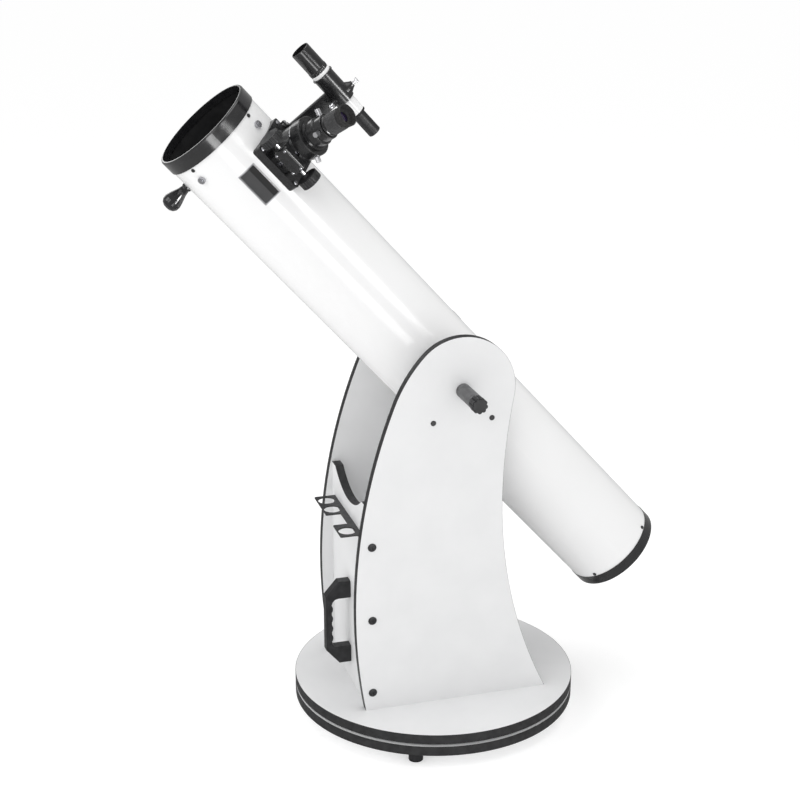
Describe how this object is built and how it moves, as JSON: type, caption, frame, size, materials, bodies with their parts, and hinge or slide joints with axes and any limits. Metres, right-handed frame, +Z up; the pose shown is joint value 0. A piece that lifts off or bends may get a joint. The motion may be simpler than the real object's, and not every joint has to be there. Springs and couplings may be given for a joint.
{
  "type": "dobsonian telescope",
  "caption": "Long white reflector telescope tube with a side focuser and finder, tilting in a rocker box that turns on a round ground board with short feet.",
  "frame": {"origin": "on the floor, on the azimuth axis, at the centre of the circle of the feet", "axes": "+Z up along the azimuth axis; -Y the front, where the tube points; +X along the altitude axis to the right-hand side panel"},
  "size_m": [0.5389, 0.9281, 1.2786],
  "materials": {
    "laminate": "satin white melamine on particle board",
    "edge_banding": "matt black edge tape",
    "black_plastic": "moulded satin",
    "gloss_black": "polished",
    "white_nylon": "smooth",
    "zinc_steel": "zinc plated",
    "black_steel": "black oxide and powder coat",
    "white_enamel": "gloss white",
    "black_enamel": "satin black",
    "matt_black_steel": "matt black",
    "mirror_coating": "first-surface aluminised glass",
    "bare_aluminium": "machined",
    "black_casting": "fine-textured satin black",
    "chrome": "polished",
    "black_anodised": "black anodised",
    "rubber": "matt",
    "coated_glass": "coated lens"
  },
  "bodies": {
    "ground": {"ground_board": "laminate", "ground_board_edging": "edge_banding", "feet": "black_plastic", "azimuth_pads": "white_nylon", "azimuth_bolt": "zinc_steel", "base_screws": "zinc_steel"},
    "rocker": {"rocker_board": "laminate", "rocker_board_edging": "edge_banding", "azimuth_bush": "white_nylon", "side_panel_right": "laminate", "side_panel_left": "laminate", "front_board": "laminate", "panel_edgings": "edge_banding", "panel_bolts": "black_steel", "altitude_pads": "white_nylon", "rocker_screws": "zinc_steel", "carry_handle": "black_plastic", "eyepiece_rack": "black_steel"},
    "telescope": {"main_tube": "white_enamel", "front_ring": "black_enamel", "mirror_cell_base": "black_enamel", "tube_screws": "zinc_steel", "altitude_hubs": "black_plastic", "guide_knob": "gloss_black", "spider_vanes": "matt_black_steel", "secondary_holder": "matt_black_steel", "secondary_mirror": "mirror_coating", "collimation_springs": "zinc_steel", "focuser_body": "black_casting", "pinion_cover": "black_casting", "finder_shoe": "black_casting"},
    "tension_right": {"tension_handle_right": "black_plastic"},
    "tension_left": {"tension_handle_left": "black_plastic"},
    "drawtube": {"drawtube": "chrome", "drawtube_rack": "zinc_steel", "drawtube_collar": "black_casting"},
    "pinion": {"pinion_shaft": "chrome", "focus_knobs": "black_plastic"},
    "collar_screw": {"collar_thumbscrew": "chrome"},
    "adapter": {"eyepiece_adapter": "black_anodised"},
    "adapter_screw_1": {"adapter_thumbscrew_1": "chrome"},
    "adapter_screw_2": {"adapter_thumbscrew_2": "chrome"},
    "eyepiece": {"eyepiece_barrel": "chrome", "eyepiece_body": "black_anodised", "eyecup": "rubber"},
    "bracket": {"finder_bracket": "black_casting", "finder_plunger": "chrome"},
    "shoe_screw": {"shoe_thumbscrew": "chrome"},
    "o_ring": {"finder_o_ring": "rubber"},
    "finder": {"finder_tube": "white_enamel", "finder_eyepiece": "black_plastic"},
    "finder_focus": {"finder_objective_cell": "black_anodised", "finder_lens": "coated_glass"},
    "adjuster_1": {"finder_adjuster_1": "chrome"},
    "adjuster_2": {"finder_adjuster_2": "chrome"},
    "mirror": {"mirror_cell": "bare_aluminium", "primary_mirror": "mirror_coating"},
    "mirror_knob_1": {"collimation_knob_1": "black_plastic"},
    "mirror_knob_2": {"collimation_knob_2": "black_plastic"},
    "mirror_knob_3": {"collimation_knob_3": "black_plastic"}
  },
  "joints": [
    {"name": "azimuth", "type": "hinge", "parent": "ground", "child": "rocker", "pos_m": [0, 0, 0.0667], "axis": [0, 0, 1], "continuous": true},
    {"name": "altitude", "type": "hinge", "parent": "rocker", "child": "telescope", "pos_m": [0, 0.0085, 0.6752], "axis": [-1, 0, 0], "range_deg": [-47.8, 42.2]},
    {"name": "tension_right_turn", "type": "hinge", "parent": "telescope", "child": "tension_right", "pos_m": [0, 0.0085, 0.6752], "axis": [1, 0, 0], "range_deg": [0, 360]},
    {"name": "tension_left_turn", "type": "hinge", "parent": "telescope", "child": "tension_left", "pos_m": [0, 0.0085, 0.6752], "axis": [-1, 0, 0], "range_deg": [0, 360]},
    {"name": "focus", "type": "slide", "parent": "telescope", "child": "drawtube", "axis": [0.6756, 0.5462, 0.4952], "range_m": [0, 0.035]},
    {"name": "pinion_turn", "type": "hinge", "parent": "telescope", "child": "pinion", "pos_m": [0.11221, -0.28968, 1.09732], "axis": [0, -0.6717, 0.7408], "range_deg": [-336, 2]},
    {"name": "adapter_pull", "type": "slide", "parent": "drawtube", "child": "adapter", "axis": [0.6756, 0.5462, 0.4952], "range_m": [0, 0.034]},
    {"name": "collar_screw_turn", "type": "hinge", "parent": "drawtube", "child": "collar_screw", "pos_m": [0.10201, -0.25362, 1.13001], "axis": [0.4539, 0.2212, -0.8632], "range_deg": [0, 360]},
    {"name": "eyepiece_pull", "type": "slide", "parent": "adapter", "child": "eyepiece", "axis": [0.6756, 0.5462, 0.4952], "range_m": [0, 0.034]},
    {"name": "adapter_screw_1_turn", "type": "hinge", "parent": "adapter", "child": "adapter_screw_1", "pos_m": [0.12701, -0.23341, 1.14834], "axis": [0.6992, -0.6878, -0.1953], "range_deg": [0, 360]},
    {"name": "adapter_screw_2_turn", "type": "hinge", "parent": "adapter", "child": "adapter_screw_2", "pos_m": [0.12701, -0.23341, 1.14834], "axis": [-0.3907, -0.3044, 0.8687], "range_deg": [0, 360]},
    {"name": "bracket_slide", "type": "slide", "parent": "telescope", "child": "bracket", "axis": [0, 0.6717, -0.7408], "range_m": [0, 0.048]},
    {"name": "shoe_screw_turn", "type": "hinge", "parent": "telescope", "child": "shoe_screw", "pos_m": [0.02504, -0.27915, 1.13656], "axis": [-0.9681, 0.1855, 0.1682], "range_deg": [0, 360]},
    {"name": "finder_pitch", "type": "hinge", "parent": "bracket", "child": "o_ring", "pos_m": [0.05208, -0.21311, 1.21939], "axis": [0.9681, -0.1855, -0.1682], "range_deg": [-0.8, 0.8]},
    {"name": "finder_yaw", "type": "hinge", "parent": "o_ring", "child": "finder", "pos_m": [0.05208, -0.21311, 1.21939], "axis": [0.2504, 0.7172, 0.6503], "range_deg": [-0.8, 0.8]},
    {"name": "finder_focus_turn", "type": "hinge", "parent": "finder", "child": "finder_focus", "pos_m": [0.05208, -0.21311, 1.21939], "axis": [0, -0.6717, 0.7408], "range_deg": [-180, 180]},
    {"name": "adjuster_1_move", "type": "slide", "parent": "bracket", "child": "adjuster_1", "axis": [0.2504, 0.7172, 0.6503], "range_m": [-0.00055, 0.00055]},
    {"name": "adjuster_2_move", "type": "slide", "parent": "bracket", "child": "adjuster_2", "axis": [-0.9681, 0.1855, 0.1682], "range_m": [-0.00055, 0.00055]},
    {"name": "mirror_move", "type": "slide", "parent": "telescope", "child": "mirror", "axis": [0, -0.6717, 0.7408], "range_m": [-0.001, 0.001]},
    {"name": "mirror_knob_1_turn", "type": "hinge", "parent": "telescope", "child": "mirror_knob_1", "pos_m": [0, 0.41232, 0.31917], "axis": [0, -0.6717, 0.7408], "range_deg": [-460, 460]},
    {"name": "mirror_knob_2_turn", "type": "hinge", "parent": "telescope", "child": "mirror_knob_2", "pos_m": [-0.05196, 0.34565, 0.25872], "axis": [0, -0.6717, 0.7408], "range_deg": [-460, 460]},
    {"name": "mirror_knob_3_turn", "type": "hinge", "parent": "telescope", "child": "mirror_knob_3", "pos_m": [0.05196, 0.34565, 0.25872], "axis": [0, -0.6717, 0.7408], "range_deg": [-460, 460]}
  ],
  "couplings": [
    {"joint": "pinion_turn", "follows": "focus", "rad_per_m": -166.67},
    {"joint": "adjuster_1_move", "follows": "finder_pitch", "m_per_rad": 0.037},
    {"joint": "adjuster_2_move", "follows": "finder_yaw", "m_per_rad": 0.037},
    {"joint": "mirror_knob_1_turn", "follows": "mirror_move", "rad_per_m": 7854},
    {"joint": "mirror_knob_2_turn", "follows": "mirror_move", "rad_per_m": 7854},
    {"joint": "mirror_knob_3_turn", "follows": "mirror_move", "rad_per_m": 7854}
  ]
}
